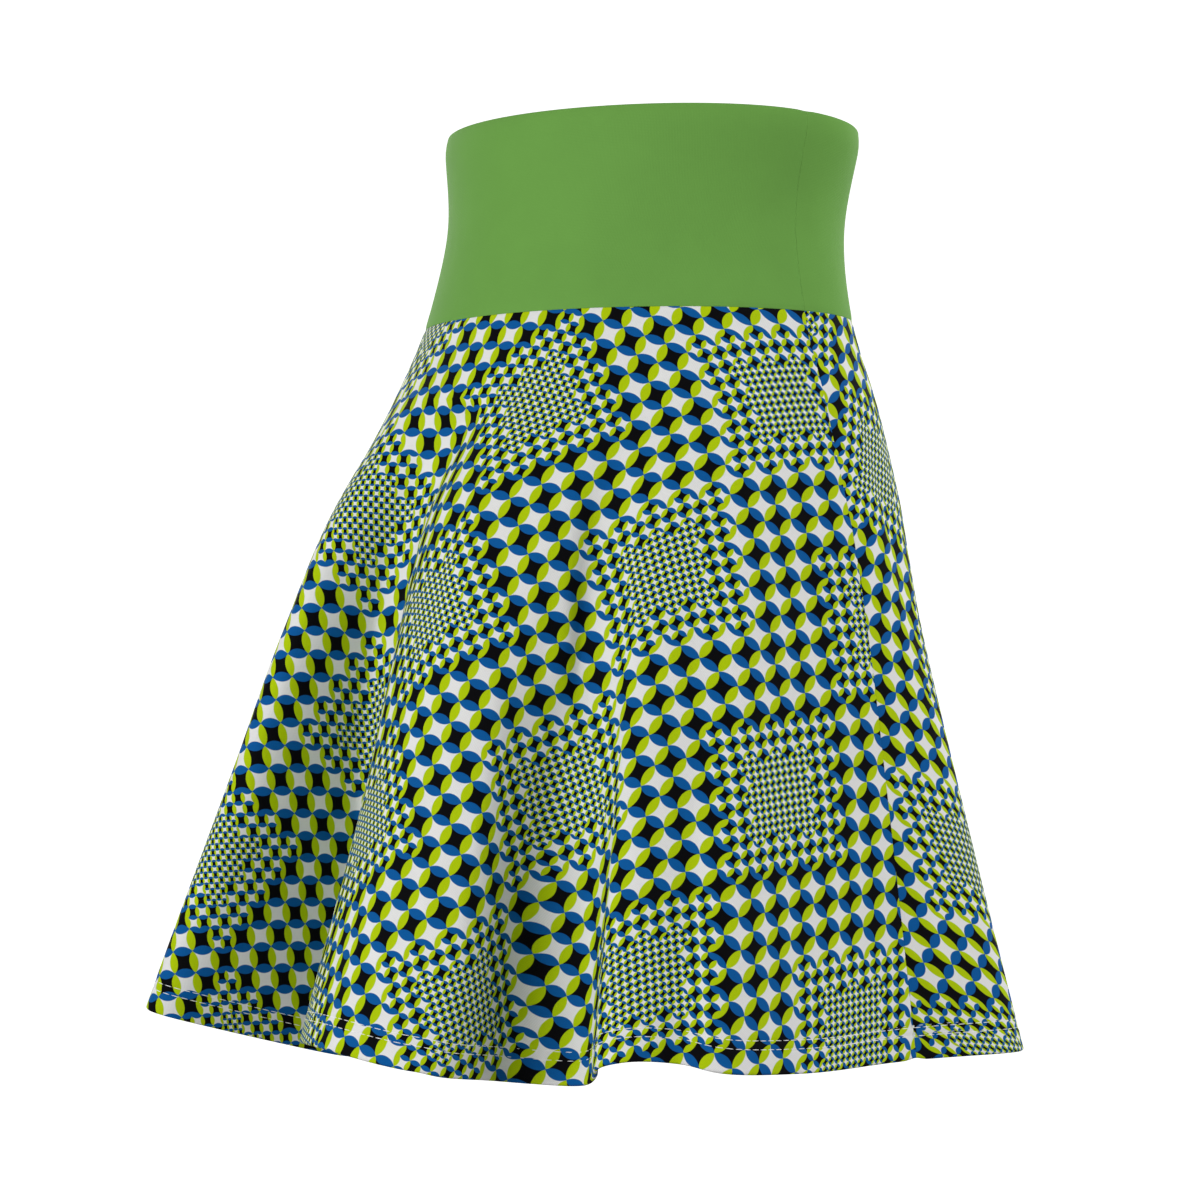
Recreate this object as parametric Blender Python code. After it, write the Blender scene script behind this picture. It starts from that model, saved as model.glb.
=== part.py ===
"""A circle skirt in the form it has when worn: a plain high waistband over a printed skirt that
flares from the hip and hangs in soft, uneven folds down to a turned-up hem.

Units are metres, +Z is up and the front faces -Y, so the wearer's left is +X. The origin is the
centre of the waist, at the narrowest ring of the band, where the wearer holds the skirt up.

The garment is one smooth surface over a general figure. A ring of it at any level is an oval
from SECTIONS, pushed out and in by the crests and dips of FOLDS. Each cut piece is a grid laid
on its share of that surface, with a second grid inside it and a rim that joins the two.
"""

from collections import namedtuple

import bmesh
import bpy
import numpy as np

# Heights of the garment's rings. The band's top edge is worn a little higher on one side, whose
# direction is in degrees from +X towards the back.
BAND_TOP = 0.0575
WAIST_SEAM = -0.048
HEM = -0.431
BAND_TILT = 0.004
HIGH_SIDE = 50

# Walls of the cloth. The hem is turned up by HEM_DEPTH and thickens over HEM_STEP.
BAND_WALL = 0.0022
SKIRT_WALL = 0.0016
HEM_WALL = 0.0028
HEM_DEPTH = 0.017
HEM_STEP = 0.002
SEAM_GAP = 0.0003

# Edges that turn by more than this many degrees stay sharp, such as the rims of the cloth.
SHARP_FROM = 50

# Cells of each piece's grid, round the garment and down it.
BAND_CELLS = (30, 6)
BACK_CELLS = (110, 18)
FRONT_CELLS = (76, 18)

# Places of a piece's two seams, as surface() has them.
BACK_SEAMS = (0, 183)
FRONT_SEAMS = (183, 360)

# Points that a seam-to-seam length is measured over, and the steps that normals are taken over,
# one in degrees of place and one in levels.
RING_POINTS = 1440
PLACE_STEP = 0.3
LEVEL_STEP = 0.004

Section = namedtuple("Section", "name height half_width back_depth front_depth")
SECTIONS = (
    Section("ribs", 0.059, 0.133, 0.090, 0.105),
    Section("waist", 0.000, 0.122, 0.098, 0.097),
    Section("waist_seam", -0.048, 0.129, 0.112, 0.098),
    Section("high_hip", -0.095, 0.144, 0.134, 0.110),
    Section("hip", -0.150, 0.159, 0.167, 0.120),
    Section("seat", -0.220, 0.175, 0.190, 0.130),
    Section("thigh", -0.300, 0.190, 0.208, 0.148),
    Section("hem", -0.431, 0.214, 0.243, 0.177),
)

# Crests and dips in order round the skirt, from the wearer's left side by way of the back.
#   angle   where it is at the hem, in degrees from +X towards the back
#   sweep   how much further round it is at the waist seam
#   stand   how far out of the oval it reaches at the hem
#   lean    how far it rolls round the ring at the hem
#   start   share of the way down the skirt where it begins
#   growth  how it deepens from there: even at 1, and fast at first below 1
#   rise    how much higher than HEM its edge ends
Fold = namedtuple("Fold", "name angle sweep stand lean start growth rise")
FOLDS = (
    Fold("left_side_crest", 4, 0, 0.034, 0.000, 0.20, 1.2, 0.002),
    Fold("left_back_dip", 22, 2, -0.038, 0.000, 0.25, 1.2, -0.004),
    Fold("left_back_crest", 46, 14, 0.035, 0.000, 0.24, 1.2, 0.018),
    Fold("left_back_shoulder", 55, 22, 0.018, -0.004, 0.18, 1.2, 0.012),
    Fold("left_seat_dip", 62, 33, -0.076, -0.066, 0.12, 0.6, -0.012),
    Fold("left_seat_hollow", 67, 33, -0.090, -0.058, 0.12, 0.6, -0.008),
    Fold("seat_shoulder", 83, 25, -0.029, 0.004, 0.04, 1.0, 0.008),
    Fold("seat_crest", 116, 4, 0.008, -0.001, 0.16, 1.0, 0.003),
    Fold("centre_slope", 126, 2, -0.005, -0.024, 0.16, 0.8, -0.001),
    Fold("centre_dip", 132, 0, -0.029, -0.030, 0.16, 0.8, -0.004),
    Fold("centre_hollow", 138, -2, -0.049, -0.032, 0.16, 0.8, -0.007),
    Fold("centre_flank", 142, -4, -0.043, -0.023, 0.16, 0.9, -0.007),
    Fold("centre_turn", 145, -4, -0.024, -0.029, 0.16, 1.0, -0.001),
    Fold("centre_edge", 147, -4, -0.011, -0.037, 0.16, 1.0, 0.004),
    Fold("centre_crest", 150, -3, -0.001, -0.039, 0.16, 0.9, 0.008),
    Fold("right_seat_dip", 156, -1, -0.003, -0.034, 0.16, 0.9, 0.007),
    Fold("right_back_crest", 161, 0, 0.008, -0.038, 0.16, 0.9, 0.003),
    Fold("right_back_slope", 168, -1, -0.005, -0.019, 0.20, 1.0, 0.000),
    Fold("right_side_dip", 178, -2, -0.016, 0.000, 0.30, 1.2, 0.001),
    Fold("right_front_crest", 210, -4, 0.009, 0.000, 0.40, 1.2, 0.002),
    Fold("right_front_dip", 228, -2, -0.040, 0.000, 0.25, 1.2, -0.002),
    Fold("front_crest", 246, 0, 0.026, 0.000, 0.30, 1.2, 0.002),
    Fold("front_dip", 263, 0, -0.055, 0.000, 0.25, 1.2, -0.001),
    Fold("left_front_crest", 281, 0, 0.042, 0.000, 0.20, 1.2, 0.003),
    Fold("left_front_dip", 301, 0, -0.058, 0.000, 0.30, 1.2, 0.000),
    Fold("left_hip_crest", 322, 0, 0.040, 0.000, 0.15, 1.2, 0.002),
    Fold("left_hip_dip", 342, 0, -0.049, 0.000, 0.25, 1.2, 0.000),
)

# The band's green, the print's mean colour, and how rough a matt knit is.
BAND_GREEN = (0.127, 0.306, 0.067)
PRINT_MEAN = (0.170, 0.220, 0.130)
KNIT_ROUGHNESS = 0.8


def smooth_table(places, values, at):
    """A smooth curve through a table's points, read at the given places."""
    slopes = np.gradient(values, places)
    index = np.clip(np.searchsorted(places, at, side="right") - 1, 0, len(places) - 2)
    span = places[index + 1] - places[index]
    q = (at - places[index]) / span
    return (
        (1 + 2 * q) * (1 - q) ** 2 * values[index]
        + q * (1 - q) ** 2 * span * slopes[index]
        + q * q * (3 - 2 * q) * values[index + 1]
        + q * q * (q - 1) * span * slopes[index + 1]
    )


def height_at(level):
    """Height of a level: -1 is the band's top edge, 0 the waist seam and 1 the hem."""
    return WAIST_SEAM - level * (WAIST_SEAM - HEM if level > 0 else BAND_TOP - WAIST_SEAM)


def section_at(height, column):
    """One size of the figure's oval at this height."""
    rows = SECTIONS[::-1]
    heights = np.array([row.height for row in rows])
    return smooth_table(heights, np.array([getattr(row, column) for row in rows]), height)


def folds_round(places, values):
    """One value of each fold, blended smoothly round the ring."""
    angles = np.array([fold.angle for fold in FOLDS])
    turned = (places - angles[0]) % 360 + angles[0]
    angles = np.concatenate([angles[-2:] - 360, angles, angles[:2] + 360])
    return smooth_table(angles, np.concatenate([values[-2:], values, values[:2]]), turned)


def surface(level, places):
    """Points of the cloth's outer face at one level and the given places.

    A place is the angle at the hem of the line that comes down the cloth there, so that lines
    follow the folds. 0 is the seam at the wearer's left.
    """
    down = max(0.0, level)
    grown = [(max(0.0, down - fold.start) / (1 - fold.start)) ** fold.growth for fold in FOLDS]
    stand = folds_round(places, [share * fold.stand for share, fold in zip(grown, FOLDS)])
    lean = folds_round(places, [share * fold.lean for share, fold in zip(grown, FOLDS)])
    rise = folds_round(places, [down * fold.rise for fold in FOLDS])
    sweep = folds_round(places, [(1 - down) * fold.sweep for fold in FOLDS])

    t = np.radians(places + sweep)
    height = height_at(level)
    width = section_at(height, "half_width")
    back, front = section_at(height, "back_depth"), section_at(height, "front_depth")
    depth = np.where(np.sin(t) >= 0, back, front)
    out = np.stack([np.cos(t) / width, np.sin(t) / depth])
    out /= np.linalg.norm(out, axis=0)
    tilt = max(0.0, -level) * BAND_TILT * np.cos(t - np.radians(HIGH_SIDE))
    x = width * np.cos(t) + out[0] * stand - out[1] * lean
    y = depth * np.sin(t) + out[1] * stand + out[0] * lean
    return np.stack([x, y, height + rise + tilt], axis=1)


def outward(level, places):
    """The surface's unit normals, pointing away from the wearer."""
    along = surface(level, places + PLACE_STEP) - surface(level, places - PLACE_STEP)
    down = surface(level + LEVEL_STEP, places) - surface(level - LEVEL_STEP, places)
    normal = np.cross(down, along)
    return normal / np.linalg.norm(normal, axis=1)[:, None]


def line_places(seams, columns, level):
    """Places of a piece's lines from seam to seam, evenly spaced along the cloth at this level."""
    places = np.linspace(*seams, RING_POINTS)
    steps = np.linalg.norm(np.diff(surface(level, places), axis=0), axis=1)
    run = np.append(0, np.cumsum(steps))
    return np.interp(np.linspace(0, run[-1], columns + 1), run, places)


def trimmed(places, level):
    """The same places, with the first and last half a seam's gap inside their seams."""
    ends = places[[0, -1]]
    inward = np.array([PLACE_STEP, -PLACE_STEP])
    reach = np.linalg.norm(surface(level, ends + inward) - surface(level, ends), axis=1)
    first, last = ends + inward * SEAM_GAP / 2 / reach
    return np.concatenate([[first], places[1:-1], [last]])


def matt_knit(name, colour):
    material = bpy.data.materials.new(name)
    material.use_nodes = True
    shader = material.node_tree.nodes["Principled BSDF"]
    shader.inputs["Base Color"].default_value = (*colour, 1)
    shader.inputs["Roughness"].default_value = KNIT_ROUGHNESS
    shader.inputs["Metallic"].default_value = 0
    return material


def cut_piece(name, collection, seams, cells, levels, walls, colour):
    """A cut piece between two seams, with a wall for each of its levels."""
    columns, rows = cells
    lines = line_places(seams, columns, levels[-1])
    outer_face, inner_face = [], []
    for level, wall in zip(levels, walls):
        places = trimmed(lines, level)
        outer_face.append(surface(level, places))
        inner_face.append(outer_face[-1] - wall * outward(level, places))

    bm = bmesh.new()
    for points in (outer_face, inner_face):
        grid = bmesh.ops.create_grid(bm, x_segments=columns, y_segments=rows, size=0.5)
        for vert in grid["verts"]:
            row, column = round((vert.co.y + 0.5) * rows), round((vert.co.x + 0.5) * columns)
            vert.co = points[row][column]
    bmesh.ops.bridge_loops(bm, edges=[edge for edge in bm.edges if edge.is_boundary])
    bmesh.ops.triangulate(bm, faces=bm.faces, quad_method="FIXED")
    bmesh.ops.recalc_face_normals(bm, faces=bm.faces)
    mesh = bpy.data.meshes.new(name)
    bm.to_mesh(mesh)
    bm.free()
    mesh.set_sharp_from_angle(angle=np.radians(SHARP_FROM))
    mesh.materials.append(matt_knit(name, colour))
    collection.objects.link(bpy.data.objects.new(name, mesh))


def band_rows():
    """Levels of the band's rows, from its top edge to its side of the waist seam, and the walls."""
    trim = SEAM_GAP / 2 / (BAND_TOP - WAIST_SEAM)
    levels = np.linspace(-1, -trim, BAND_CELLS[1] + 1)
    return levels, [BAND_WALL] * len(levels)


def skirt_rows(cells):
    """Levels of a skirt panel's rows, the last ones its turned-up hem, and the walls."""
    drop = WAIST_SEAM - HEM
    trim = SEAM_GAP / 2 / drop
    fold = 1 - HEM_DEPTH / drop
    single = np.linspace(trim, fold - HEM_STEP / drop, cells[1] - 1)
    return np.append(single, [fold, 1]), [SKIRT_WALL] * len(single) + [HEM_WALL] * 2


def main():
    for obj in list(bpy.data.objects):
        bpy.data.objects.remove(obj)
    skirt = bpy.data.collections.new("circle_skirt")
    bpy.context.scene.collection.children.link(skirt)
    cut_piece("waistband_back", skirt, BACK_SEAMS, BAND_CELLS, *band_rows(), BAND_GREEN)
    cut_piece("waistband_front", skirt, FRONT_SEAMS, BAND_CELLS, *band_rows(), BAND_GREEN)
    cut_piece("skirt_back", skirt, BACK_SEAMS, BACK_CELLS, *skirt_rows(BACK_CELLS), PRINT_MEAN)
    cut_piece("skirt_front", skirt, FRONT_SEAMS, FRONT_CELLS, *skirt_rows(FRONT_CELLS), PRINT_MEAN)


main()
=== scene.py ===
"""The finished look of a circle skirt in its worn form: knit cloth, a petal lattice print and hem
stitching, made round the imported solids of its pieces.

The file is laid out as an add-on and run as a script. Each operator makes one piece or group of
like pieces, and main() calls them in order. Units are metres in the solids' own frame: +Z is up,
the front faces -Y, the wearer's left is +X and the origin is the centre of the waist.
"""

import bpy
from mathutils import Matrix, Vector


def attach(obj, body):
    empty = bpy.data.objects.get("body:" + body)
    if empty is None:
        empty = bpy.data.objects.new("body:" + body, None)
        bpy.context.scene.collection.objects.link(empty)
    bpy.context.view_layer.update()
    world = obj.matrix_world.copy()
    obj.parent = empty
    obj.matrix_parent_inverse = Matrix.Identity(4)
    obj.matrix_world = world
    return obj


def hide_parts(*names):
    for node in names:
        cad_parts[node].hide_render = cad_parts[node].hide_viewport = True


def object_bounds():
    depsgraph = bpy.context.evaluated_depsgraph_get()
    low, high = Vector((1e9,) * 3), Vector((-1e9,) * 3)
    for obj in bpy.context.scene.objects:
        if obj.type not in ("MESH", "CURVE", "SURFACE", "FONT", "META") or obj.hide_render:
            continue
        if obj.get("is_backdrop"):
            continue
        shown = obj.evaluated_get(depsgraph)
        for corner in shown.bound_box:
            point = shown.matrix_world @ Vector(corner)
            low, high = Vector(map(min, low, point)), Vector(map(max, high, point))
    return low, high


bl_info = {
    "name": "Circle Skirt",
    "version": (1, 0, 0),
    "blender": (4, 5, 0),
    "location": "3D View > Sidebar > Skirt",
    "description": "Dresses the solids of a circle skirt in knit cloth, print and stitching",
    "category": "Object",
}

from collections import namedtuple
from functools import lru_cache

import bmesh
import bpy
import numpy as np
from mathutils import Matrix, Vector

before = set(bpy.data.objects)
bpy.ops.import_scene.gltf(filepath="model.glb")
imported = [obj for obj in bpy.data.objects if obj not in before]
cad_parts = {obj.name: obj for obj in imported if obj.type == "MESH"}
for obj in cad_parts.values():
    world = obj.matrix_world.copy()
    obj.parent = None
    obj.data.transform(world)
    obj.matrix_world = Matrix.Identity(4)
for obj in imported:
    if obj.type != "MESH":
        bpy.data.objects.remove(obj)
SOLIDS_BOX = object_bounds()

# Heights of the garment's rings, as its solids have them. The band's top edge is worn a little
# higher on one side, whose direction is in degrees from +X towards the back.
BAND_TOP = 0.0575
WAIST_SEAM = -0.048
HEM = -0.431
BAND_TILT = 0.004
HIGH_SIDE = 50

# Folded edges: how thick the band's doubled cloth and the turned-up hem are over both layers, how
# far the hem is turned up, and the rows round a fold.
BAND_DOUBLE = 0.0022
HEM_DOUBLE = 0.0024
HEM_DEPTH = 0.017
EDGE_TURNS = 7

# Seams: the gap between two pieces, how far the cloth sinks beside it (the band's side seams are
# pressed flat), how far its edge is turned in there, and where the lines close to a seam run.
SEAM_GAP = 0.00005
SEAM_DIP = 0.0005
DIP_REACH = 0.0022
SEAM_TURNED = (0.0012, 0.0007, 0.0003)
NEAR_SEAM = (0.0006, 0.0013, 0.0022, 0.0034)

# How far the side seams draw in the hem and the band's edge, how near to them, and how fast that
# fades towards the waist seam. The band's soft edge also rolls in, from a share of its height on.
HEM_PULL = 0.0011
BAND_PULL = 0.0003
PULL_REACH = 0.0042
PULL_FADE = 9
BAND_ROLL = 0.0021
ROLL_START = 0.88

# The groove that a stitched row presses into the hem, and how far a thread's middle stands out
# of it, as a share of its thickness.
GROOVE_DEPTH = 0.0003
GROOVE_REACH = 0.0009
THREAD_STANDS = 0.1

# Where each row's first stitch lies, in stitches from the seam.
UPPER_START = 0.5
LOWER_START = 0.9

# Where the sewing of the hem starts and ends, both rows are sewn double: how far to each side of
# the wearer's right side seam, and how far up and along, in stitches, the second ones lie.
DOUBLE_SEWN = 0.034
SECOND_RISE = 0.0011
SECOND_START = 0.5

# Sides and rings of one stitch's thread, which is small and repeated often.
THREAD_SIDES = 6

# The print: cells in one block of the layout, how many cells its finer diamonds reach from the
# block's middle, a petal's circle as a share of the lattice's pitch, and the softness of its edge.
BLOCK_CELLS = 10
FINE_REACH = 4.5
FINEST_REACH = 2.5
PETAL_RADIUS = 0.715
PRINT_SOFTNESS = 0.012
REVERSE_SHOW = 0.16

# The knit: how much of its relief the rows across the columns make, and how far they slant.
ROW_SHARE = 0.35
ROW_SLANT = 2

# How much painted shade darkens the colour in the knit's gaps, how much the cloth's random
# unevenness darkens it, and the values of the unevenness that this fades over.
KNIT_GAP_SHADE = 0.10
CLOUD_TONE = 0.04
CLOUD_RANGE = (0.3, 0.7)

# The soft, matt finish of every knit: its shine, and how strong and how rough its nap is.
KNIT_SHINE = 0.04
KNIT_NAP = 0.01
NAP_ROUGHNESS = 0.45

# The studio's round floor, the cove at its edge and the wall behind it.
FLOOR_RADIUS = 4.0
COVE_RADIUS = 1.5
COVE_TURNS = 12
WALL_HEIGHT = 4.0
FLOOR_STEPS = 96
WELD_DISTANCE = 0.0001

# Lines of the finished cloth round each piece, and rows down it. The rows lie closer over the
# lowest part of the skirt, HEM_ZONE high, and each inner layer has rows of its own.
BACK_LINES = 320
FRONT_LINES = 280
BAND_LINES = 150
SKIRT_ROWS = 80
HEM_ROWS = 24
HEM_ZONE = 0.020
INNER_HEM_ROWS = 8
BAND_ROWS = 30
INNER_BAND_ROWS = 20

# Places of a piece's two seams, as surface() has them.
BACK_SEAMS = (0, 183)
FRONT_SEAMS = (183, 360)

# How finely the cloth is measured: points from seam to seam, levels and places for the length
# down it, and the steps that normals are taken over.
RING_POINTS = 1440
RUN_LEVELS = 48
RUN_PLACES = 121
PLACE_STEP = 0.3
LEVEL_STEP = 0.004

Section = namedtuple("Section", "name height half_width back_depth front_depth")
SECTIONS = (
    Section("ribs", 0.059, 0.133, 0.090, 0.105),
    Section("waist", 0.000, 0.122, 0.098, 0.097),
    Section("waist_seam", -0.048, 0.129, 0.112, 0.098),
    Section("high_hip", -0.095, 0.144, 0.134, 0.110),
    Section("hip", -0.150, 0.159, 0.167, 0.120),
    Section("seat", -0.220, 0.175, 0.190, 0.130),
    Section("thigh", -0.300, 0.190, 0.208, 0.148),
    Section("hem", -0.431, 0.214, 0.243, 0.177),
)

# Crests and dips in order round the skirt, from the wearer's left side by way of the back.
#   angle   where it is at the hem, in degrees from +X towards the back
#   sweep   how much further round it is at the waist seam
#   stand   how far out of the oval it reaches at the hem
#   lean    how far it rolls round the ring at the hem
#   start   share of the way down the skirt where it begins
#   growth  how it deepens from there: even at 1, and fast at first below 1
#   rise    how much higher than HEM its edge ends
Fold = namedtuple("Fold", "name angle sweep stand lean start growth rise")
FOLDS = (
    Fold("left_side_crest", 4, 0, 0.034, 0.000, 0.20, 1.2, 0.002),
    Fold("left_back_dip", 22, 2, -0.038, 0.000, 0.25, 1.2, -0.004),
    Fold("left_back_crest", 46, 14, 0.035, 0.000, 0.24, 1.2, 0.018),
    Fold("left_back_shoulder", 55, 22, 0.018, -0.004, 0.18, 1.2, 0.012),
    Fold("left_seat_dip", 62, 33, -0.076, -0.066, 0.12, 0.6, -0.012),
    Fold("left_seat_hollow", 67, 33, -0.090, -0.058, 0.12, 0.6, -0.008),
    Fold("seat_shoulder", 83, 25, -0.029, 0.004, 0.04, 1.0, 0.008),
    Fold("seat_crest", 116, 4, 0.008, -0.001, 0.16, 1.0, 0.003),
    Fold("centre_slope", 126, 2, -0.005, -0.024, 0.16, 0.8, -0.001),
    Fold("centre_dip", 132, 0, -0.029, -0.030, 0.16, 0.8, -0.004),
    Fold("centre_hollow", 138, -2, -0.049, -0.032, 0.16, 0.8, -0.007),
    Fold("centre_flank", 142, -4, -0.043, -0.023, 0.16, 0.9, -0.007),
    Fold("centre_turn", 145, -4, -0.024, -0.029, 0.16, 1.0, -0.001),
    Fold("centre_edge", 147, -4, -0.011, -0.037, 0.16, 1.0, 0.004),
    Fold("centre_crest", 150, -3, -0.001, -0.039, 0.16, 0.9, 0.008),
    Fold("right_seat_dip", 156, -1, -0.003, -0.034, 0.16, 0.9, 0.007),
    Fold("right_back_crest", 161, 0, 0.008, -0.038, 0.16, 0.9, 0.003),
    Fold("right_back_slope", 168, -1, -0.005, -0.019, 0.20, 1.0, 0.000),
    Fold("right_side_dip", 178, -2, -0.016, 0.000, 0.30, 1.2, 0.001),
    Fold("right_front_crest", 210, -4, 0.009, 0.000, 0.40, 1.2, 0.002),
    Fold("right_front_dip", 228, -2, -0.040, 0.000, 0.25, 1.2, -0.002),
    Fold("front_crest", 246, 0, 0.026, 0.000, 0.30, 1.2, 0.002),
    Fold("front_dip", 263, 0, -0.055, 0.000, 0.25, 1.2, -0.001),
    Fold("left_front_crest", 281, 0, 0.042, 0.000, 0.20, 1.2, 0.003),
    Fold("left_front_dip", 301, 0, -0.058, 0.000, 0.30, 1.2, 0.000),
    Fold("left_hip_crest", 322, 0, 0.040, 0.000, 0.15, 1.2, 0.002),
    Fold("left_hip_dip", 342, 0, -0.049, 0.000, 0.25, 1.2, 0.000),
)

# Smaller creases, placed on the main folds. Place and width are in degrees of place, top
# and end are levels, drift is how far round it moves on its way, and depth is out of the cloth.
Crease = namedtuple("Crease", "place width top end drift depth")
CREASES = (
    Crease(14, 3.0, 0.30, 1.25, 1.0, -0.0016),
    Crease(33, 3.5, 0.42, 1.30, -2.0, 0.0018),
    Crease(52, 2.2, 0.10, 0.75, -2.0, -0.0012),
    Crease(74, 3.0, 0.05, 0.62, 2.0, 0.0016),
    Crease(90, 3.4, 0.02, 0.55, 3.0, -0.0014),
    Crease(97, 3.6, 0.46, 1.35, 2.0, 0.0015),
    Crease(106, 3.0, 0.30, 1.10, 1.0, -0.0013),
    Crease(119, 6.5, 0.20, 1.30, 26.5, -0.0085),
    Crease(126, 3.0, 0.10, 0.85, 19.0, 0.0030),
    Crease(150, 2.0, 0.02, 0.50, -1.0, -0.0012),
    Crease(159, 2.4, 0.40, 1.30, 1.5, 0.0014),
    Crease(171, 3.0, 0.08, 0.70, 2.0, -0.0013),
    Crease(188, 3.2, 0.35, 1.25, 1.0, 0.0014),
    Crease(200, 3.6, 0.02, 0.60, 3.0, -0.0015),
    Crease(219, 3.0, 0.30, 1.20, -1.5, 0.0016),
    Crease(237, 3.0, 0.40, 1.30, 1.5, -0.0014),
    Crease(254, 3.2, 0.05, 0.75, 2.0, 0.0015),
    Crease(272, 2.8, 0.45, 1.35, -1.0, -0.0015),
    Crease(291, 3.4, 0.20, 1.00, 2.0, 0.0016),
    Crease(311, 3.0, 0.02, 0.55, -2.0, -0.0014),
    Crease(332, 3.2, 0.35, 1.30, 1.0, 0.0017),
    Crease(351, 3.0, 0.10, 0.80, -1.0, -0.0014),
    Crease(40, 16, -0.95, -0.15, 8.0, -0.0010),
    Crease(118, 14, -0.90, -0.05, 5.0, 0.0009),
    Crease(152, 9, -0.92, -0.02, -6.0, -0.0012),
    Crease(205, 15, -0.96, -0.10, 6.0, -0.0010),
    Crease(262, 12, -0.88, -0.05, -5.0, 0.0010),
    Crease(322, 14, -0.94, -0.08, 6.0, -0.0011),
)

# Lights round the garment. Azimuth 0 is the front and 90 the wearer's left.
Light = namedtuple("Light", "name azimuth elevation distance size watts")
LIGHTS = (
    Light("key_softbox", 180, 12, 2.6, 1.3, 34),
    Light("fill_softbox", 210, 12, 2.6, 1.3, 10),
    Light("right_softbox", 305, 12, 2.6, 1.3, 28),
    Light("high_softbox", 330, 50, 2.6, 1.3, 15),
    Light("front_softbox", 20, 14, 2.6, 1.3, 16),
    Light("left_softbox", 75, 14, 2.6, 1.3, 22),
)

# The camera: where it stands round the garment, and how far the garment's axis and the horizon
# lie from the middle of a picture FRAME_PIXELS wide.
CAMERA_AZIMUTH = 230
CAMERA_DISTANCE = 2.04
CAMERA_HEIGHT = -0.249
FRAME_PIXELS = 1200
FOCAL_PIXELS = 3769
AXIS_RIGHT_PIXELS = 43
HORIZON_DOWN_PIXELS = 100
SENSOR_WIDTH = 36


# ------------------------------------------------------------------------ settings


class CircleSkirtCloth(bpy.types.PropertyGroup):
    """Sizes and colours of the cloth."""

    thickness: bpy.props.FloatProperty(
        name="Cloth Thickness", description="Thickness of one layer of the knit",
        default=0.0008, min=0.0003, max=0.001, precision=4, unit="LENGTH",
    )
    crease_share: bpy.props.FloatProperty(
        name="Creases", description="How deep the small creases are, as a share of their table",
        default=1.0, min=0.0, max=2.0, subtype="FACTOR",
    )
    green: bpy.props.FloatVectorProperty(
        name="Band Green", description="Colour of the plain band",
        default=(0.165, 0.388, 0.075), size=3, min=0.0, max=1.0, subtype="COLOR",
    )
    knit_pitch: bpy.props.FloatProperty(
        name="Knit Pitch", description="Width of one column of knit stitches",
        default=0.0008, min=0.0004, max=0.003, precision=4, unit="LENGTH",
    )


class CircleSkirtPrint(bpy.types.PropertyGroup):
    """Sizes and colours of the petal lattice print."""

    pitch: bpy.props.FloatProperty(
        name="Petal Length", description="Length of a large petal, which is the lattice's pitch",
        default=0.0115, min=0.005, max=0.05, precision=4, unit="LENGTH",
    )
    lime: bpy.props.FloatVectorProperty(
        name="Lime", description="Colour of every other petal",
        default=(0.475, 0.640, 0.003), size=3, min=0.0, max=1.0, subtype="COLOR",
    )
    blue: bpy.props.FloatVectorProperty(
        name="Blue", description="Colour of the petals between the lime ones",
        default=(0.004, 0.108, 0.365), size=3, min=0.0, max=1.0, subtype="COLOR",
    )
    black: bpy.props.FloatVectorProperty(
        name="Black", description="Colour of every other ground cell",
        default=(0.003, 0.003, 0.004), size=3, min=0.0, max=1.0, subtype="COLOR",
    )
    white: bpy.props.FloatVectorProperty(
        name="White", description="Colour of the bare cloth between them",
        default=(0.86, 0.86, 0.85), size=3, min=0.0, max=1.0, subtype="COLOR",
    )


class CircleSkirtStitching(bpy.types.PropertyGroup):
    """Sizes and colour of the hem's two stitched rows."""

    upper: bpy.props.FloatProperty(
        name="Upper Row", description="Height of the upper row over the hem's edge",
        default=0.0165, min=0.005, max=0.03, precision=4, unit="LENGTH",
    )
    lower: bpy.props.FloatProperty(
        name="Lower Row", description="Height of the lower row over the hem's edge",
        default=0.0122, min=0.003, max=0.03, precision=4, unit="LENGTH",
    )
    pitch: bpy.props.FloatProperty(
        name="Stitch Pitch", description="Distance from one stitch to the next",
        default=0.0052, min=0.002, max=0.01, precision=4, unit="LENGTH",
    )
    length: bpy.props.FloatProperty(
        name="Stitch Length", description="Length of thread that shows in one stitch",
        default=0.0041, min=0.001, max=0.009, precision=4, unit="LENGTH",
    )
    thread: bpy.props.FloatProperty(
        name="Thread", description="Thickness of the thread",
        default=0.00045, min=0.0002, max=0.001, precision=5, unit="LENGTH",
    )
    white: bpy.props.FloatVectorProperty(
        name="Thread White", description="Colour of the thread",
        default=(0.90, 0.90, 0.90), size=3, min=0.0, max=1.0, subtype="COLOR",
    )


class CircleSkirtStage(bpy.types.PropertyGroup):
    """The floor, the light and their colours."""

    floor_drop: bpy.props.FloatProperty(
        name="Floor Drop", description="How far under the waist the wearer would stand",
        default=1.02, min=0.5, max=1.5, unit="LENGTH",
    )
    light_share: bpy.props.FloatProperty(
        name="Light", description="Strength of the softboxes, as a share of their table",
        default=1.0, min=0.0, max=4.0, subtype="FACTOR",
    )
    sky: bpy.props.FloatProperty(
        name="Sky", description="Strength of the even light from all round",
        default=0.28, min=0.0, max=4.0,
    )
    glow: bpy.props.FloatProperty(
        name="Floor Glow", description="Light that the pale floor gives off by itself",
        default=0.85, min=0.0, max=4.0,
    )
    pale: bpy.props.FloatVectorProperty(
        name="Floor Colour", description="Colour of the pale floor",
        default=(0.86, 0.86, 0.86), size=3, min=0.0, max=1.0, subtype="COLOR",
    )


# ------------------------------------------------------------------ the cloth's form


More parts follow.
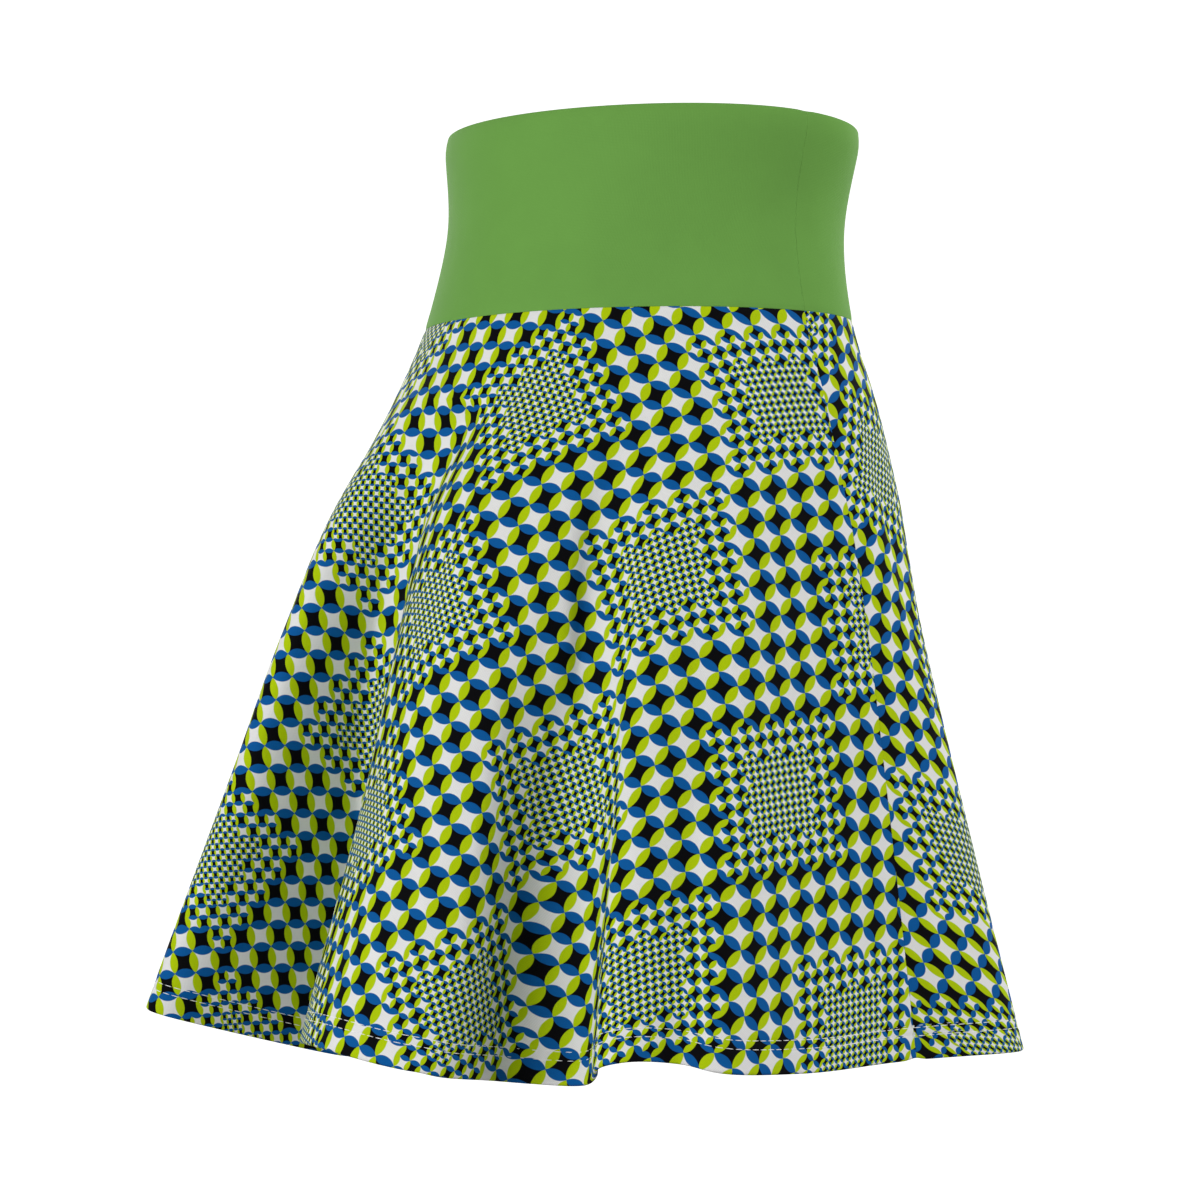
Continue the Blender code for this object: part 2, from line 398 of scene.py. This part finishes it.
def smooth_table(places, values, at):
    """A smooth curve through a table's points, read at the given places."""
    slopes = np.gradient(values, places)
    index = np.clip(np.searchsorted(places, at, side="right") - 1, 0, len(places) - 2)
    span = places[index + 1] - places[index]
    q = (at - places[index]) / span
    return (
        (1 + 2 * q) * (1 - q) ** 2 * values[index]
        + q * (1 - q) ** 2 * span * slopes[index]
        + q * q * (3 - 2 * q) * values[index + 1]
        + q * q * (q - 1) * span * slopes[index + 1]
    )


def height_at(level):
    """Height of a level: -1 is the band's top edge, 0 the waist seam and 1 the hem."""
    return WAIST_SEAM - level * (WAIST_SEAM - HEM if level > 0 else BAND_TOP - WAIST_SEAM)


def section_at(height, column):
    """One size of the figure's oval at this height."""
    rows = SECTIONS[::-1]
    heights = np.array([row.height for row in rows])
    return smooth_table(heights, np.array([getattr(row, column) for row in rows]), height)


def folds_round(places, values):
    """One value of each fold, blended smoothly round the ring."""
    angles = np.array([fold.angle for fold in FOLDS])
    turned = (places - angles[0]) % 360 + angles[0]
    angles = np.concatenate([angles[-2:] - 360, angles, angles[:2] + 360])
    return smooth_table(angles, np.concatenate([values[-2:], values, values[:2]]), turned)


def surface(level, places):
    """Points of the solids' outer face at one level and the given places.

    A place is the angle at the hem of the line that comes down the cloth there, so that lines
    follow the folds. 0 is the seam at the wearer's left.
    """
    down = max(0.0, level)
    grown = [(max(0.0, down - fold.start) / (1 - fold.start)) ** fold.growth for fold in FOLDS]
    stand = folds_round(places, [share * fold.stand for share, fold in zip(grown, FOLDS)])
    lean = folds_round(places, [share * fold.lean for share, fold in zip(grown, FOLDS)])
    rise = folds_round(places, [down * fold.rise for fold in FOLDS])
    sweep = folds_round(places, [(1 - down) * fold.sweep for fold in FOLDS])

    t = np.radians(places + sweep)
    height = height_at(level)
    width = section_at(height, "half_width")
    back, front = section_at(height, "back_depth"), section_at(height, "front_depth")
    depth = np.where(np.sin(t) >= 0, back, front)
    out = np.stack([np.cos(t) / width, np.sin(t) / depth])
    out /= np.linalg.norm(out, axis=0)
    tilt = max(0.0, -level) * BAND_TILT * np.cos(t - np.radians(HIGH_SIDE))
    x = width * np.cos(t) + out[0] * stand - out[1] * lean
    y = depth * np.sin(t) + out[1] * stand + out[0] * lean
    return np.stack([x, y, height + rise + tilt], axis=1)


def outward(face, level, places):
    """Unit normals of a face of the cloth, pointing away from the wearer."""
    along = face(level, places + PLACE_STEP) - face(level, places - PLACE_STEP)
    down = face(level + LEVEL_STEP, places) - face(level - LEVEL_STEP, places)
    normal = np.cross(down, along)
    return normal / np.linalg.norm(normal, axis=1)[:, None]


def creased(level, places):
    """Points of the cloth's outer face, which has the small creases that the solids leave out."""
    depth = np.zeros_like(places, dtype=float)
    for crease in CREASES:
        share = (level - crease.top) / (crease.end - crease.top)
        if 0 < share < 1:
            away = (places - crease.place - crease.drift * share + 180) % 360 - 180
            depth += crease.depth * np.sin(np.pi * share) ** 2 * np.exp(-((away / crease.width) ** 2))
    depth *= bpy.context.scene.skirt_cloth.crease_share
    return surface(level, places) + outward(surface, level, places) * depth[:, None]


@lru_cache
def down_run(last_level):
    """Levels from the waist seam to the last, and the cloth's mean length to each of them."""
    levels = np.linspace(0, last_level, RUN_LEVELS)
    places = np.linspace(0, 360, RUN_PLACES)
    rows = np.array([surface(level, places) for level in levels])
    steps = np.linalg.norm(np.diff(rows, axis=0), axis=2).mean(axis=1)
    return levels, np.append(0, np.cumsum(steps))


def ring_run(level, places):
    """The cloth's length from the first place to each of them, round one level."""
    steps = np.linalg.norm(np.diff(surface(level, places), axis=0), axis=1)
    return np.append(0, np.cumsum(steps))


def spaced_places(seams, level, spread):
    """Places from seam to seam, spaced along the cloth at this level.

    spread takes the cloth's whole length there, and gives the wanted distances along it.
    """
    places = np.linspace(*seams, RING_POINTS)
    run = ring_run(level, places)
    return np.interp(spread(run[-1]), run, places)


def seam_lines(count):
    """Distances of a piece's lines: even over the cloth, with a few close to each seam."""
    near = np.array(NEAR_SEAM)

    def spread(length):
        half = SEAM_GAP / 2
        middle = np.linspace(near[-1], length - near[-1], count)[1:-1]
        return np.concatenate([[half], near, middle, length - near[::-1], [length - half]])

    return spread


# ------------------------------------------------------------------- cloth as a shell

# One row of a shell's grid: its level, how deep it lies under the outer face, its distance along
# the cloth from the waist seam, and which way it faces, from 1 out to -1 in.
Row = namedtuple("Row", "level depth run facing")


def shell_rows(last_level, distances, double, inner_distances):
    """Rows of a sheet that runs from the waist seam to a folded edge, and on inside it.

    distances are those of the outer rows along the cloth, and inner_distances those of the layer
    that is turned in, measured back from the edge. double is both layers' thickness.
    """
    levels, run = down_run(last_level)
    radius = double / 2
    edge = run[-1] - radius
    fold_length = np.pi * radius

    def level_at(distance):
        return float(np.interp(distance, run, levels))

    rows = [Row(level_at(SEAM_GAP / 2), turned, -turned, 1) for turned in SEAM_TURNED]
    rows += [Row(level_at(distance), 0, distance, 1) for distance in distances if distance < edge]
    for turn in np.linspace(0, np.pi, EDGE_TURNS):
        level = level_at(edge + radius * np.sin(turn))
        rows.append(Row(level, radius * (1 - np.cos(turn)), edge + radius * turn, np.cos(turn)))
    for distance in inner_distances:
        rows.append(Row(level_at(edge - distance), double, edge + fold_length + distance, -1))
    return rows


def skirt_rows():
    """Rows of a skirt panel, close together where the hem is stitched."""
    length = down_run(1)[1][-1]
    seam = [SEAM_GAP / 2, *NEAR_SEAM]
    drop = np.linspace(NEAR_SEAM[-1], length - HEM_ZONE, SKIRT_ROWS)[1:]
    hem = np.linspace(length - HEM_ZONE, length - HEM_DOUBLE / 2, HEM_ROWS)[1:-1]
    turned_up = np.linspace(0, HEM_DEPTH - HEM_DOUBLE / 2, INNER_HEM_ROWS)[1:]
    return shell_rows(1, [*seam, *drop, *hem], HEM_DOUBLE, turned_up)


def band_rows():
    """Rows of the band, which is folded double at its top edge."""
    height = down_run(-1)[1][-1]
    outer = np.linspace(NEAR_SEAM[-1], height - BAND_DOUBLE / 2, BAND_ROWS)[1:-1]
    inner = np.linspace(0, height - BAND_DOUBLE / 2 - SEAM_GAP / 2, INNER_BAND_ROWS)[1:]
    return shell_rows(-1, [SEAM_GAP / 2, *NEAR_SEAM, *outer], BAND_DOUBLE, inner)


def pressed_in(row, last_level):
    """How far the stitched rows press the hem in at one row of the grid."""
    if last_level < 0:
        return 0
    stitching = bpy.context.scene.skirt_stitching
    length = down_run(1)[1][-1]
    height = length - np.interp(row.level, *down_run(1))
    away = height - np.array([stitching.upper, stitching.lower])
    return GROOVE_DEPTH * np.exp(-((away / GROOVE_REACH) ** 2)).sum()


def sheet_grid(seams, lines, lines_level, rows, flatten):
    """Points of a sheet between two seams, row by row, and where they lie in its flat cut."""
    places = spaced_places(seams, lines_level, seam_lines(lines))
    turned = np.array(SEAM_TURNED)
    at_seam = np.zeros(len(turned))
    wide = np.concatenate([places[0] + at_seam, places, places[-1] + at_seam])
    tucked = np.concatenate([turned, np.zeros(len(places)), turned[::-1]])
    side_dip = SEAM_DIP if lines_level > 0 else 0
    points, flats = [], []
    for row in rows:
        run = ring_run(row.level, places)
        beside = np.concatenate([at_seam, np.minimum(run, run[-1] - run), at_seam])
        waist_dip = SEAM_DIP * (row.facing > 0) * np.exp(-((row.run / DIP_REACH) ** 2))
        sink = tucked + np.maximum(waist_dip, side_dip * np.exp(-((beside / DIP_REACH) ** 2)))
        sink = sink + pressed_in(row, lines_level)
        roll = BAND_ROLL * (max(0, -row.level - ROLL_START) / (1 - ROLL_START)) ** 2
        depth = row.depth + row.facing * sink + roll
        line = creased(row.level, wide) - outward(creased, row.level, wide) * depth[:, None]
        pull = (HEM_PULL if row.level > 0 else -BAND_PULL) * abs(row.level) ** PULL_FADE
        line[:, 2] += pull * np.exp(-((beside / PULL_REACH) ** 2))
        points.append(line)
        along = np.concatenate([-turned, run, run[-1] + turned[::-1]]) - run[-1] / 2
        flats.append(flatten(along, row.run))
    return np.array(points), np.array(flats)


def ring_sector(seams):
    """How a skirt panel lies flat: a sector of a ring, as its waist and hem lengths give it."""
    places = np.linspace(*seams, RING_POINTS)
    waist, hem = ring_run(0, places)[-1], ring_run(1, places)[-1]
    inner_radius = waist * down_run(1)[1][-1] / (hem - waist)

    def flatten(along, run):
        radius = inner_radius + run
        return np.stack([radius * np.sin(along / radius), -radius * np.cos(along / radius)], axis=1)

    return flatten


def straight_strip(along, run):
    """How half of the band lies flat."""
    return np.stack([along, np.full(len(along), run)], axis=1)


def grid_piece(name, points, flats):
    """An object of one sheet of cloth, with its flat cut as its UV map in metres."""
    bm = bmesh.new()
    uv = bm.loops.layers.uv.new("flat_cut")
    rows, columns = points.shape[0] - 1, points.shape[1] - 1
    # The grid starts as a unit square, where a vertex's place tells its row and column.
    grid = bmesh.ops.create_grid(bm, x_segments=columns, y_segments=rows, size=0.5)
    for vert in grid["verts"]:
        row, column = round((vert.co.y + 0.5) * rows), round((vert.co.x + 0.5) * columns)
        vert.co = points[row][column]
        for loop in vert.link_loops:
            loop[uv].uv = flats[row][column]
    for face in bm.faces:
        face.smooth = True
    runs_down = points[0, 0, 2] > points[rows // 2, 0, 2]
    if runs_down:
        bmesh.ops.reverse_faces(bm, faces=bm.faces)
    return finished(name, bm)


def finished(name, bm):
    """An object at the origin that holds this mesh."""
    mesh = bpy.data.meshes.new(name)
    bm.normal_update()
    bm.to_mesh(mesh)
    bm.free()
    piece = bpy.data.objects.new(name, mesh)
    bpy.context.scene.collection.objects.link(piece)
    return piece


def cut_area(flats, rows):
    """Area of a flat cut, from the widths of its rows and the distances between them."""
    widths = np.linalg.norm(np.diff(flats, axis=1), axis=2).sum(axis=1)
    runs = np.array([row.run for row in rows])
    return float(((widths[1:] + widths[:-1]) / 2 * np.diff(runs)).sum())


def sew_sheet(name, node, grid, rows, materials):
    points, flats = grid
    piece = grid_piece(name, points, flats)
    for material in materials:
        piece.data.materials.append(material)
    wall = piece.modifiers.new("cloth thickness", "SOLIDIFY")
    wall.thickness = bpy.context.scene.skirt_cloth.thickness
    wall.offset = -1
    wall.material_offset = wall.material_offset_rim = len(materials) - 1
    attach(piece, "root")
    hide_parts(node)
    cut_area(flats, rows)
    return piece


# ----------------------------------------------------------------------- materials


class Recipe:
    """A material whose colour and bump are worked out by linked maths nodes."""

    def __init__(self, name, roughness):
        self.material = bpy.data.materials.new(name)
        self.material.use_nodes = True
        self.tree = self.material.node_tree
        self.shader = self.tree.nodes["Principled BSDF"]
        self.shader.inputs["Roughness"].default_value = roughness

    def node(self, kind, **settings):
        """A new node with these settings."""
        made = self.tree.nodes.new(kind)
        for name, value in settings.items():
            setattr(made, name, value)
        return made

    def feed(self, socket, value):
        """Links or sets a socket."""
        if isinstance(value, bpy.types.NodeSocket):
            self.tree.links.new(value, socket)
        else:
            socket.default_value = value

    def maths(self, operation, *values):
        """The result of one sum."""
        made = self.node("ShaderNodeMath", operation=operation)
        for socket, value in zip(made.inputs, values):
            self.feed(socket, value)
        return made.outputs[0]

    def blend(self, share, low, high):
        """A colour between two, low at a share of 0 and high at 1."""
        made = self.node("ShaderNodeMix", data_type="RGBA")
        for name, value in (("Factor", share), ("A", low), ("B", high)):
            socket = next(s for s in made.inputs if s.name == name and s.enabled)
            self.feed(socket, value)
        return next(s for s in made.outputs if s.enabled)

    def fade(self, value, start, end, first, last):
        """first up to start, last from end on, and a ramp between them."""
        made = self.node("ShaderNodeMapRange")
        for socket, given in zip(made.inputs, (value, start, end, first, last)):
            self.feed(socket, given)
        return made.outputs[0]

    def flat_place(self):
        """Where a point lies in the piece's flat cut, in metres."""
        cut = self.node("ShaderNodeUVMap", uv_map="flat_cut")
        split = self.node("ShaderNodeSeparateXYZ")
        self.feed(split.inputs[0], cut.outputs[0])
        return split.outputs[0], split.outputs[1]

    def cloud(self, scale, detail):
        """Soft unevenness of the cloth, from 0 to 1."""
        place = self.node("ShaderNodeTexCoord")
        noise = self.node("ShaderNodeTexNoise")
        self.feed(noise.inputs["Vector"], place.outputs["Object"])
        noise.inputs["Scale"].default_value = scale
        noise.inputs["Detail"].default_value = detail
        return noise.outputs[0]

    def bump(self, height, distance, strength):
        """Adds a bump to the shader, on top of the one that is there."""
        made = self.node("ShaderNodeBump")
        self.feed(made.inputs["Height"], height)
        made.inputs["Distance"].default_value = distance
        made.inputs["Strength"].default_value = strength
        normal = self.shader.inputs["Normal"]
        if normal.is_linked:
            self.tree.links.new(normal.links[0].from_socket, made.inputs["Normal"])
        self.tree.links.new(made.outputs[0], normal)


def knit_columns(recipe, pitch):
    """The knit's columns of stitches and the rows across them, from 0 in the gaps to 1."""
    across, down = recipe.flat_place()
    column = recipe.maths("MULTIPLY", across, np.pi / pitch)
    ridge = recipe.maths("ABSOLUTE", recipe.maths("SINE", column))
    lean = recipe.maths("MULTIPLY", ridge, ROW_SLANT)
    slant = recipe.maths("MULTIPLY_ADD", down, 2 * np.pi / pitch, lean)
    row = recipe.maths("MULTIPLY_ADD", recipe.maths("SINE", slant), 0.5, 0.5)
    columns = recipe.maths("MULTIPLY", ridge, 1 - ROW_SHARE)
    return recipe.maths("MULTIPLY_ADD", row, ROW_SHARE, columns)


def finish_knit(recipe, colour):
    """Gives a material its colour, with the knit's texture, painted shade in its gaps, a random
    unevenness and a soft nap.
    """
    knit = knit_columns(recipe, bpy.context.scene.skirt_cloth.knit_pitch)
    cloud = recipe.cloud(scale=38, detail=3)
    # Painted shade: the colour is darkened in the knit's gaps between its columns and rows; the cloud
    # darkens it a little more at random.
    gap_shade_and_unevenness = recipe.maths("MULTIPLY_ADD", knit, KNIT_GAP_SHADE, 1 - KNIT_GAP_SHADE)
    gap_shade_and_unevenness = recipe.maths("MULTIPLY", gap_shade_and_unevenness, recipe.fade(cloud, *CLOUD_RANGE, 1 - CLOUD_TONE, 1))
    shaded = recipe.node("ShaderNodeMix", data_type="RGBA", blend_type="MULTIPLY")
    sockets = [socket for socket in shaded.inputs if socket.enabled]
    recipe.feed(sockets[0], 1.0)
    recipe.feed(sockets[1], colour)
    recipe.feed(sockets[2], gap_shade_and_unevenness)
    recipe.feed(recipe.shader.inputs["Base Color"], next(s for s in shaded.outputs if s.enabled))
    recipe.bump(cloud, distance=0.0012, strength=0.25)
    recipe.bump(knit, distance=0.00016, strength=0.5)
    recipe.shader.inputs["Specular IOR Level"].default_value = KNIT_SHINE
    recipe.shader.inputs["Sheen Weight"].default_value = KNIT_NAP
    recipe.shader.inputs["Sheen Roughness"].default_value = NAP_ROUGHNESS
    return recipe.material


def petal_lattice(recipe, scene):
    """The print: lime and blue petals on the edges of black and white cells.

    The petals are where the circles of an overlapping circle grid meet. In diamonds of cells, in
    half drop over the cloth, the grid is twice and four times as fine.
    """
    across, down = recipe.flat_place()
    spot = [recipe.maths("DIVIDE", value, scene.skirt_print.pitch) for value in (across, down)]
    cell = [recipe.maths("FLOOR", value) for value in spot]
    stripe = recipe.maths("FLOOR", recipe.maths("DIVIDE", cell[0], BLOCK_CELLS))
    drop = recipe.maths("MULTIPLY", recipe.maths("FLOORED_MODULO", stripe, 2), BLOCK_CELLS // 2)
    from_centre = []
    for value in (cell[0], recipe.maths("ADD", cell[1], drop)):
        inside = recipe.maths("FLOORED_MODULO", value, BLOCK_CELLS)
        from_centre.append(recipe.maths("ABSOLUTE", recipe.maths("SUBTRACT", inside, BLOCK_CELLS // 2)))
    away = recipe.maths("ADD", *from_centre)
    finer = recipe.maths("LESS_THAN", away, FINE_REACH)
    finest = recipe.maths("LESS_THAN", away, FINEST_REACH)
    times = recipe.maths("ADD", recipe.maths("ADD", 1, finer), recipe.maths("MULTIPLY", finest, 2))

    spot = [recipe.maths("MULTIPLY", value, times) for value in spot]
    cell = [recipe.maths("FLOOR", value) for value in spot]
    inside = [recipe.maths("SUBTRACT", recipe.maths("FRACT", value), 0.5) for value in spot]
    odd = recipe.maths("FLOORED_MODULO", recipe.maths("ADD", *cell), 2)
    ground = recipe.blend(odd, (*scene.skirt_print.white, 1), (*scene.skirt_print.black, 1))

    colour = ground
    size = [recipe.maths("ABSOLUTE", value) for value in inside]
    for side, other, petal in ((0, 1, scene.skirt_print.lime), (1, 0, scene.skirt_print.blue)):
        reach = recipe.maths("SUBTRACT", 1, size[side])
        distance = recipe.maths("SQRT", recipe.maths(
            "MULTIPLY_ADD", reach, reach, recipe.maths("POWER", size[other], 2)))
        share = recipe.fade(distance, PETAL_RADIUS - PRINT_SOFTNESS, PETAL_RADIUS + PRINT_SOFTNESS, 1, 0)
        colour = recipe.blend(share, colour, (*petal, 1))
    return colour


def printed_knit(scene):
    """The right side of the skirt's cloth."""
    recipe = Recipe("printed knit", roughness=0.72)
    return finish_knit(recipe, petal_lattice(recipe, scene))


def knit_reverse(scene):
    """The wrong side of the printed knit, white with the print showing through faintly."""
    recipe = Recipe("printed knit reverse", roughness=0.8)
    faint = recipe.blend(REVERSE_SHOW, (*scene.skirt_print.white, 1), petal_lattice(recipe, scene))
    return finish_knit(recipe, faint)


def band_knit(scene):
    """The plain green knit of the band."""
    recipe = Recipe("band knit", roughness=0.7)
    return finish_knit(recipe, (*scene.skirt_cloth.green, 1))


def hem_thread(scene):
    """White sewing thread with a little fibre."""
    recipe = Recipe("hem thread", roughness=0.5)
    recipe.shader.inputs["Base Color"].default_value = (*scene.skirt_stitching.white, 1)
    recipe.shader.inputs["Sheen Weight"].default_value = 0.2
    recipe.bump(recipe.cloud(scale=2200, detail=1), distance=0.0001, strength=0.4)
    return recipe.material


def pale_floor(scene):
    """A pale backdrop that glows a little, so that it stays even."""
    recipe = Recipe("pale floor", roughness=0.9)
    recipe.shader.inputs["Base Color"].default_value = (*scene.skirt_stage.pale, 1)
    recipe.shader.inputs["Emission Color"].default_value = (1, 1, 1, 1)
    recipe.shader.inputs["Emission Strength"].default_value = scene.skirt_stage.glow
    return recipe.material


# ----------------------------------------------------------------------- stitching


def stitch_row(bm, seams, height, start, stitching, reach=np.inf):
    """Adds one row of stitches to a mesh, at this height over a panel's hem.

    Its first stitch is start stitches from the seam, and only those within reach of the wearer's
    right side seam are sewn.
    """
    levels, run = down_run(1)
    level = float(np.interp(run[-1] - height, run, levels))

    def spread(length):
        steps = np.arange(stitching.pitch * start, length - stitching.length / 2, stitching.pitch)
        away = length - steps if seams == BACK_SEAMS else steps
        return steps[away < reach]

    places = spaced_places(seams, level, spread)
    along = creased(level, places + PLACE_STEP) - creased(level, places - PLACE_STEP)
    along /= np.linalg.norm(along, axis=1)[:, None]
    normals = outward(creased, level, places)
    centres = creased(level, places) + normals * (THREAD_STANDS * stitching.thread - GROOVE_DEPTH)
    half_length, half_width = stitching.length / 2, stitching.thread / 2
    for centre, way, normal in zip(centres, along, normals):
        side = np.cross(normal, way)
        columns = (normal * half_width, side * half_width, way * half_length)
        place = Matrix.Identity(4)
        for index, column in enumerate(columns):
            place.col[index][:3] = column
        place.translation = Vector(centre)
        bmesh.ops.create_uvsphere(bm, u_segments=THREAD_SIDES, v_segments=THREAD_SIDES,
                                  radius=1, matrix=place)


def hem_stitching(name, seams):
    """Both rows of stitches on one panel, as one piece."""
    stitching = bpy.context.scene.skirt_stitching
    bm = bmesh.new()
    for height, start in ((stitching.upper, UPPER_START), (stitching.lower, LOWER_START)):
        stitch_row(bm, seams, height, start, stitching)
        stitch_row(bm, seams, height + SECOND_RISE, start + SECOND_START, stitching, DOUBLE_SEWN)
    bmesh.ops.recalc_face_normals(bm, faces=bm.faces)
    for face in bm.faces:
        face.smooth = True
    return finished(name, bm)


# ----------------------------------------------------------------------- the stage


def direction(azimuth, elevation):
    """A unit vector from the garment towards this side. 0 is the front, 90 the wearer's left."""
    a, e = np.radians(azimuth), np.radians(elevation)
    return Vector((np.sin(a) * np.cos(e), -np.cos(a) * np.cos(e), np.sin(e)))


def studio_floor(scene):
    """A round floor that sweeps up into a wall, so that every side has a plain background."""
    level = -scene.skirt_stage.floor_drop
    profile = [(0, level)]
    for turn in np.linspace(0, np.pi / 2, COVE_TURNS):
        radius = FLOOR_RADIUS + COVE_RADIUS * np.sin(turn)
        profile.append((radius, level + COVE_RADIUS * (1 - np.cos(turn))))
    profile.append((FLOOR_RADIUS + COVE_RADIUS, level + WALL_HEIGHT))
    bm = bmesh.new()
    verts = [bm.verts.new((x, 0, z)) for x, z in profile]
    edges = [bm.edges.new(pair) for pair in zip(verts, verts[1:])]
    bmesh.ops.spin(bm, geom=verts + edges, cent=(0, 0, 0), axis=(0, 0, 1), angle=2 * np.pi,
                   steps=FLOOR_STEPS, use_merge=True)
    bmesh.ops.remove_doubles(bm, verts=bm.verts, dist=WELD_DISTANCE)
    bmesh.ops.recalc_face_normals(bm, faces=bm.faces)
    floor_faces_down = max(face.normal.z for face in bm.faces) < 0.5
    if floor_faces_down:
        bmesh.ops.reverse_faces(bm, faces=bm.faces)
    for face in bm.faces:
        face.smooth = True
    floor = finished("studio_floor", bm)
    floor.data.materials.append(pale_floor(scene))
    # It neither lights the garment nor shades the lights.
    floor.visible_diffuse = floor.visible_glossy = floor.visible_shadow = False
    floor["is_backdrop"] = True


def softbox(light, share):
    """A square soft light aimed at the garment's axis, at the camera's height."""
    lamp = bpy.data.lights.new(light.name, "AREA")
    lamp.size = light.size
    lamp.energy = light.watts * share
    holder = bpy.data.objects.new(light.name, lamp)
    bpy.context.scene.collection.objects.link(holder)
    way = direction(light.azimuth, light.elevation)
    holder.location = way * light.distance + Vector((0, 0, CAMERA_HEIGHT))
    holder.rotation_euler = way.to_track_quat("Z", "Y").to_euler()
    holder.visible_camera = False


def even_sky(scene):
    """Weak white light from all round."""
    world = bpy.data.worlds.new("even sky")
    world.use_nodes = True
    background = world.node_tree.nodes["Background"]
    background.inputs["Color"].default_value = (1, 1, 1, 1)
    background.inputs["Strength"].default_value = scene.skirt_stage.sky
    scene.world = world


def place_camera(scene):
    """The camera, turned a little so that the garment's axis and the horizon are off its middle."""
    lens = bpy.data.cameras.new("camera")
    lens.sensor_width = SENSOR_WIDTH
    lens.lens = SENSOR_WIDTH * FOCAL_PIXELS / FRAME_PIXELS
    camera = bpy.data.objects.new("camera", lens)
    scene.collection.objects.link(camera)
    back = direction(CAMERA_AZIMUTH, 0)
    right = Vector((0, 0, 1)).cross(back)
    yaw = np.arctan(AXIS_RIGHT_PIXELS / FOCAL_PIXELS)
    pitch = np.arctan(HORIZON_DOWN_PIXELS / FOCAL_PIXELS)
    ahead = -back * np.cos(yaw) - right * np.sin(yaw)
    ahead = ahead * np.cos(pitch) + Vector((0, 0, 1)) * np.sin(pitch)
    camera.location = back * CAMERA_DISTANCE + Vector((0, 0, CAMERA_HEIGHT))
    camera.rotation_euler = ahead.to_track_quat("-Z", "Y").to_euler()
    scene.camera = camera


# ------------------------------------------------------------------------ operators


class SKIRT_OT_set_stage(bpy.types.Operator):
    """Adds the pale floor, the soft light and the camera"""

    bl_idname = "skirt.set_stage"
    bl_label = "Set the Stage"

    def execute(self, context):
        scene = context.scene
        scene.view_settings.view_transform = "Standard"
        studio_floor(scene)
        for light in LIGHTS:
            softbox(light, scene.skirt_stage.light_share)
        even_sky(scene)
        place_camera(scene)
        return {"FINISHED"}


class SKIRT_OT_sew_waistband(bpy.types.Operator):
    """Makes both halves of the plain band, folded double at its top edge"""

    bl_idname = "skirt.sew_waistband"
    bl_label = "Sew the Waistband"

    def execute(self, context):
        material = band_knit(context.scene)
        rows = band_rows()
        for side, seams in (("back", BACK_SEAMS), ("front", FRONT_SEAMS)):
            grid = sheet_grid(seams, BAND_LINES, -1, rows, straight_strip)
            sew_sheet(f"waistband_{side}_cloth", f"waistband_{side}", grid, rows, [material])
        return {"FINISHED"}


class SKIRT_OT_stitch_hem(bpy.types.Operator):
    """Makes the two rows of white stitches round the hem"""

    bl_idname = "skirt.stitch_hem"
    bl_label = "Stitch the Hem"

    def execute(self, context):
        material = hem_thread(context.scene)
        for side, seams in (("back", BACK_SEAMS), ("front", FRONT_SEAMS)):
            piece = hem_stitching(f"hem_stitching_{side}", seams)
            piece.data.materials.append(material)
            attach(piece, "root")
        return {"FINISHED"}


class SKIRT_OT_hang_panels(bpy.types.Operator):
    """Makes both printed panels of the skirt, with their turned-up hems"""

    bl_idname = "skirt.hang_panels"
    bl_label = "Hang the Panels"

    def execute(self, context):
        materials = [printed_knit(context.scene), knit_reverse(context.scene)]
        rows = skirt_rows()
        cuts = (("back", BACK_SEAMS, BACK_LINES), ("front", FRONT_SEAMS, FRONT_LINES))
        for side, seams, lines in cuts:
            stitching = bpy.data.objects.get(f"hem_stitching_{side}")
            if stitching is None:
                raise RuntimeError("stitch the hem before the panels are hung")
            grid = sheet_grid(seams, lines, 1, rows, ring_sector(seams))
            sew_sheet(f"skirt_{side}_cloth", f"skirt_{side}", grid, rows, materials)
        return {"FINISHED"}


class SKIRT_PT_circle_skirt(bpy.types.Panel):
    """Lists the skirt's sizes, colours and steps"""

    bl_label = "Circle Skirt"
    bl_idname = "SKIRT_PT_circle_skirt"
    bl_space_type = "VIEW_3D"
    bl_region_type = "UI"
    bl_category = "Skirt"

    def draw(self, context):
        for owner, settings in SETTINGS.items():
            box = self.layout.box()
            for name in settings.__annotations__:
                box.prop(getattr(context.scene, owner), name)
        for operator in OPERATORS:
            self.layout.operator(operator.bl_idname)


SETTINGS = {
    "skirt_cloth": CircleSkirtCloth,
    "skirt_print": CircleSkirtPrint,
    "skirt_stitching": CircleSkirtStitching,
    "skirt_stage": CircleSkirtStage,
}
OPERATORS = (
    SKIRT_OT_set_stage,
    SKIRT_OT_sew_waistband,
    SKIRT_OT_stitch_hem,
    SKIRT_OT_hang_panels,
)
CLASSES = (*SETTINGS.values(), *OPERATORS, SKIRT_PT_circle_skirt)


def register():
    for cls in CLASSES:
        bpy.utils.register_class(cls)
    for owner, settings in SETTINGS.items():
        setattr(bpy.types.Scene, owner, bpy.props.PointerProperty(type=settings))


def unregister():
    for owner in SETTINGS:
        delattr(bpy.types.Scene, owner)
    for cls in reversed(CLASSES):
        bpy.utils.unregister_class(cls)


def main():
    register()
    bpy.ops.skirt.set_stage()
    bpy.ops.skirt.sew_waistband()
    bpy.ops.skirt.stitch_hem()
    bpy.ops.skirt.hang_panels()
    boxes = {"cad": SOLIDS_BOX, "visual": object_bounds()}
    {name: [list(corner) for corner in box] for name, box in boxes.items()}


if __name__ == "__main__":
    main()
